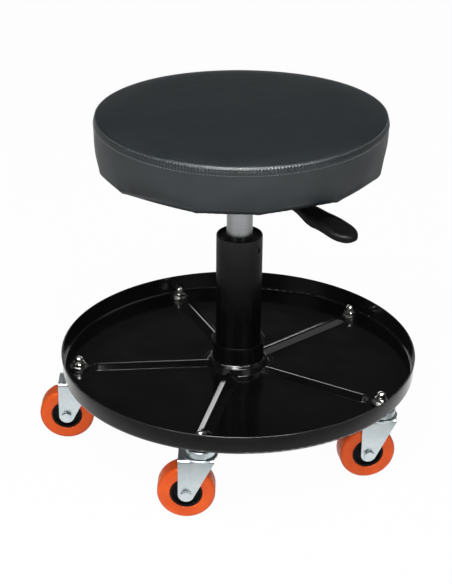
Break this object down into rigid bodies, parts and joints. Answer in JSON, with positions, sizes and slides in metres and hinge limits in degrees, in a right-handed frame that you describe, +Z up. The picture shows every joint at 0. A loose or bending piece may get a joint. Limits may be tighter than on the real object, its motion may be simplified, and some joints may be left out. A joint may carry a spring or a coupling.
{
  "type": "mechanic stool",
  "caption": "Low rolling workshop stool: a round padded seat on a gas lift column with a paddle lever, over a round tool tray on swivel casters.",
  "frame": {"origin": "on the floor, on the axis of the column", "axes": "+Z up along the column; +X to the right and +Y to the back, seen from the side where the lever points to the right"},
  "size_m": [0.4154, 0.3906, 0.3819],
  "materials": {
    "tray_black": "gloss",
    "column_black": "gloss",
    "plate_black": "satin",
    "zinc": "satin",
    "bright_steel": "polished",
    "cap_nut_chrome": "polished",
    "handle_black": "satin",
    "bush_black": "matte",
    "hub_black": "satin",
    "tread_orange": "satin",
    "stop_rubber": "matte",
    "seat_vinyl": "satin",
    "seat_foam": "matte",
    "board_wood": "matte"
  },
  "bodies": {
    "base": {"tray": "tray_black", "column_collar": "column_black", "column_tube": "column_black", "guide_bush": "bush_black", "lower_race": "bright_steel", "thrust_balls": "bright_steel", "caster_stem_1": "zinc", "caster_stem_2": "zinc", "caster_stem_3": "zinc", "caster_stem_4": "zinc", "caster_stem_5": "zinc", "swivel_balls": "bright_steel", "cap_nuts": "cap_nut_chrome", "washers": "zinc"},
    "gas_rod": {"piston_rod": "bright_steel", "piston": "bush_black", "upper_race": "bright_steel", "bump_stop": "stop_rubber", "rod_clip": "zinc"},
    "seat": {"gas_cylinder": "bright_steel", "rod_guide": "bush_black", "valve_body": "bright_steel", "taper_socket": "plate_black", "housing": "plate_black", "seat_plate": "plate_black", "plate_screws": "zinc", "tee_nuts": "zinc", "seat_board": "board_wood", "seat_foam": "seat_foam", "seat_cover": "seat_vinyl", "staples": "zinc", "lever_pivot": "zinc"},
    "lever": {"lever_arm": "plate_black", "lever_handle": "handle_black"},
    "valve": {"valve_pin": "bright_steel"},
    "caster_1": {"fork_1": "zinc", "axle_bolt_1": "zinc", "axle_sleeve_1": "bright_steel"},
    "wheel_1": {"wheel_hub_1": "hub_black", "wheel_tread_1": "tread_orange"},
    "caster_2": {"fork_2": "zinc", "axle_bolt_2": "zinc", "axle_sleeve_2": "bright_steel"},
    "wheel_2": {"wheel_hub_2": "hub_black", "wheel_tread_2": "tread_orange"},
    "caster_3": {"fork_3": "zinc", "axle_bolt_3": "zinc", "axle_sleeve_3": "bright_steel"},
    "wheel_3": {"wheel_hub_3": "hub_black", "wheel_tread_3": "tread_orange"},
    "caster_4": {"fork_4": "zinc", "axle_bolt_4": "zinc", "axle_sleeve_4": "bright_steel"},
    "wheel_4": {"wheel_hub_4": "hub_black", "wheel_tread_4": "tread_orange"},
    "caster_5": {"fork_5": "zinc", "axle_bolt_5": "zinc", "axle_sleeve_5": "bright_steel"},
    "wheel_5": {"wheel_hub_5": "hub_black", "wheel_tread_5": "tread_orange"}
  },
  "joints": [
    {"name": "seat_swivel", "type": "hinge", "parent": "base", "child": "gas_rod", "pos_m": [0, 0, 0], "axis": [0, 0, 1], "continuous": true},
    {"name": "seat_lift", "type": "slide", "parent": "gas_rod", "child": "seat", "axis": [0, 0, 1], "range_m": [-0.025, 0.075]},
    {"name": "lever_pull", "type": "hinge", "parent": "seat", "child": "lever", "pos_m": [0.01671, -0.01992, 0.30945], "axis": [-0.766, -0.6428, 0], "range_deg": [0, 5], "stiffness_Nm_per_rad": 2},
    {"name": "valve_press", "type": "slide", "parent": "seat", "child": "valve", "axis": [0, 0, -1], "range_m": [0, 0.0025]},
    {"name": "caster_swivel_1", "type": "hinge", "parent": "base", "child": "caster_1", "pos_m": [-0.03707, -0.17246, 0], "axis": [0, 0, 1], "continuous": true},
    {"name": "wheel_spin_1", "type": "hinge", "parent": "caster_1", "child": "wheel_1", "pos_m": [-0.05157, -0.17246, 0.03], "axis": [0, -1, 0], "continuous": true},
    {"name": "caster_swivel_2", "type": "hinge", "parent": "base", "child": "caster_2", "pos_m": [0.15257, -0.08855, 0], "axis": [0, 0, 1], "continuous": true},
    {"name": "wheel_spin_2", "type": "hinge", "parent": "caster_2", "child": "wheel_2", "pos_m": [0.13829, -0.09106, 0.03], "axis": [0.1736, -0.9848, 0], "continuous": true},
    {"name": "caster_swivel_3", "type": "hinge", "parent": "base", "child": "caster_3", "pos_m": [0.13136, 0.11774, 0], "axis": [0, 0, 1], "continuous": true},
    {"name": "wheel_spin_3", "type": "hinge", "parent": "caster_3", "child": "wheel_3", "pos_m": [0.11694, 0.11622, 0.03], "axis": [0.1045, -0.9945, 0], "continuous": true},
    {"name": "caster_swivel_4", "type": "hinge", "parent": "base", "child": "caster_4", "pos_m": [-0.07138, 0.16131, 0], "axis": [0, 0, 1], "continuous": true},
    {"name": "wheel_spin_4", "type": "hinge", "parent": "caster_4", "child": "wheel_4", "pos_m": [-0.08585, 0.16232, 0.03], "axis": [-0.0698, -0.9976, 0], "continuous": true},
    {"name": "caster_swivel_5", "type": "hinge", "parent": "base", "child": "caster_5", "pos_m": [-0.17547, -0.01804, 0], "axis": [0, 0, 1], "continuous": true},
    {"name": "wheel_spin_5", "type": "hinge", "parent": "caster_5", "child": "wheel_5", "pos_m": [-0.18997, -0.01829, 0.03], "axis": [0.0175, -0.9998, 0], "continuous": true}
  ],
  "couplings": [
    {"joint": "valve_press", "follows": "lever_pull", "m_per_rad": 0.026}
  ]
}
